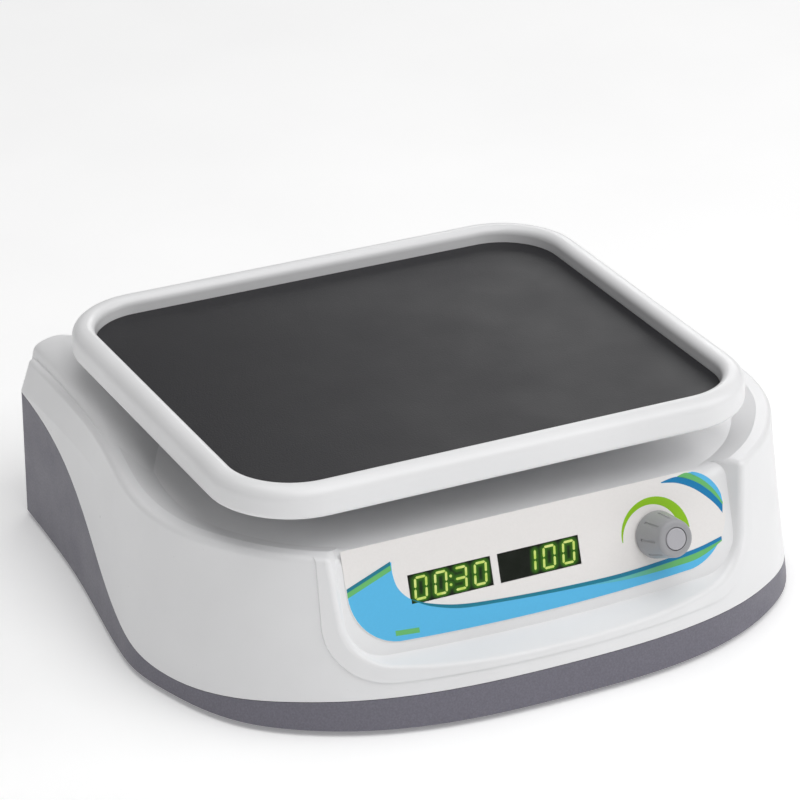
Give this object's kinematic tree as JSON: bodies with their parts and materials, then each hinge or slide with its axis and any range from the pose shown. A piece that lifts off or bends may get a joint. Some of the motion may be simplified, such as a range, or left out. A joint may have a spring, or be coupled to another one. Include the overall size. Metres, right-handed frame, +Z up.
{
  "type": "orbital platform shaker",
  "caption": "Benchtop orbital shaker: rimmed platform with a rubber mat on a crank drive, low flared housing, sloping panel with number displays and one control knob.",
  "frame": {"origin": "middle of the footprint's bounding box, on the bench under the feet", "axes": "+Z up; the control panel faces -Y; +X is to the right of a user facing the panel"},
  "size_m": [0.3418, 0.2957, 0.121],
  "materials": {
    "white_plastic": "white satin-gloss moulded plastic",
    "grey_plastic": "mid-grey satin moulded plastic",
    "mat_rubber": "near-black ribbed non-slip rubber",
    "foot_rubber": "black rubber",
    "knob_plastic": "light grey satin plastic",
    "cap_plastic": "pale grey satin plastic",
    "label_film": "printed polyester film, white with blue and green fields",
    "display_filter": "dark green display filter",
    "numeral_light": "lit yellow-green bars",
    "aluminium": "cast and machined aluminium",
    "steel": "plain steel",
    "zinc_plate": "zinc-plated sheet steel",
    "bronze": "sintered bronze",
    "belt_rubber": "black drive belt",
    "circuit_board": "green circuit board with black components",
    "black_plastic": "black moulded plastic",
    "wire_jacket": "black wire sleeve"
  },
  "bodies": {
    "housing": {"top_cover": "white_plastic", "base_shell": "grey_plastic", "chassis_plate": "zinc_plate", "foot_1": "foot_rubber", "foot_2": "foot_rubber", "foot_3": "foot_rubber", "foot_4": "foot_rubber", "cover_screws": "steel", "bearing_housing": "aluminium", "lower_bearing_outer": "steel", "upper_bearing_outer": "steel", "idler_post_1": "aluminium", "idler_post_2": "aluminium", "idler_post_3": "aluminium", "idler_bush_1": "bronze", "idler_bush_2": "bronze", "idler_bush_3": "bronze", "chassis_screws": "steel", "motor_bracket": "zinc_plate", "motor_body": "steel", "motor_screws": "steel", "drive_belt": "belt_rubber", "control_label": "label_film", "time_display": "display_filter", "speed_display": "display_filter", "time_numerals": "numeral_light", "speed_numerals": "numeral_light", "control_board": "circuit_board", "encoder_body": "black_plastic", "encoder_nut": "steel", "drive_board": "circuit_board", "board_screws": "steel", "power_jack": "black_plastic", "switch_bezel": "black_plastic", "wiring": "wire_jacket"},
    "crank": {"spindle": "steel", "counterweight": "steel", "crank_pin": "steel", "driven_pulley": "aluminium", "pin_bearing_inner": "steel", "lower_bearing_inner": "steel", "upper_bearing_inner": "steel"},
    "platform": {"platform_tray": "white_plastic", "platform_mat": "mat_rubber", "tray_screws": "steel", "carrier_plate": "aluminium", "pin_bearing_outer": "steel", "carrier_bush_1": "bronze", "carrier_bush_2": "bronze", "carrier_bush_3": "bronze"},
    "idler_1": {"idler_crank_1": "steel"},
    "idler_2": {"idler_crank_2": "steel"},
    "idler_3": {"idler_crank_3": "steel"},
    "rotor": {"motor_shaft": "steel", "motor_pulley": "aluminium"},
    "press": {"encoder_plunger": "black_plastic"},
    "knob": {"control_knob": "knob_plastic", "knob_cap": "cap_plastic", "encoder_shaft": "aluminium"},
    "rocker": {"switch_rocker": "black_plastic"}
  },
  "joints": [
    {"name": "crank_spin", "type": "hinge", "parent": "housing", "child": "crank", "pos_m": [0, 0.0115, 0.07], "axis": [0, 0, 1], "continuous": true},
    {"name": "platform_orbit", "type": "hinge", "parent": "crank", "child": "platform", "pos_m": [-0.0095, 0.0115, 0.1], "axis": [0, 0, 1], "continuous": true},
    {"name": "motor_spin", "type": "hinge", "parent": "housing", "child": "rotor", "pos_m": [0.095, 0.06, 0.05], "axis": [0, 0, 1], "continuous": true},
    {"name": "idler_1_spin", "type": "hinge", "parent": "housing", "child": "idler_1", "pos_m": [-0.075, -0.0335, 0.07], "axis": [0, 0, 1], "continuous": true},
    {"name": "idler_2_spin", "type": "hinge", "parent": "housing", "child": "idler_2", "pos_m": [0.075, -0.0335, 0.07], "axis": [0, 0, 1], "continuous": true},
    {"name": "idler_3_spin", "type": "hinge", "parent": "housing", "child": "idler_3", "pos_m": [0, 0.0815, 0.07], "axis": [0, 0, 1], "continuous": true},
    {"name": "knob_press", "type": "slide", "parent": "housing", "child": "press", "axis": [0, 0.9483, -0.3173], "range_m": [0, 0.0006], "stiffness_N_per_m": 2500, "springref_m": -0.0004},
    {"name": "knob_turn", "type": "hinge", "parent": "press", "child": "knob", "pos_m": [0.061, -0.12363, 0.06103], "axis": [0, -0.9483, 0.3173], "continuous": true},
    {"name": "power_switch", "type": "hinge", "parent": "housing", "child": "rocker", "pos_m": [-0.062, 0.1415, 0.026], "axis": [0, 0, 1], "range_deg": [0, 18]}
  ],
  "couplings": [
    {"joint": "platform_orbit", "follows": "crank_spin", "ratio": -1},
    {"joint": "motor_spin", "follows": "crank_spin", "ratio": 3.8099},
    {"joint": "idler_1_spin", "follows": "crank_spin", "ratio": 1},
    {"joint": "idler_2_spin", "follows": "crank_spin", "ratio": 1},
    {"joint": "idler_3_spin", "follows": "crank_spin", "ratio": 1}
  ]
}
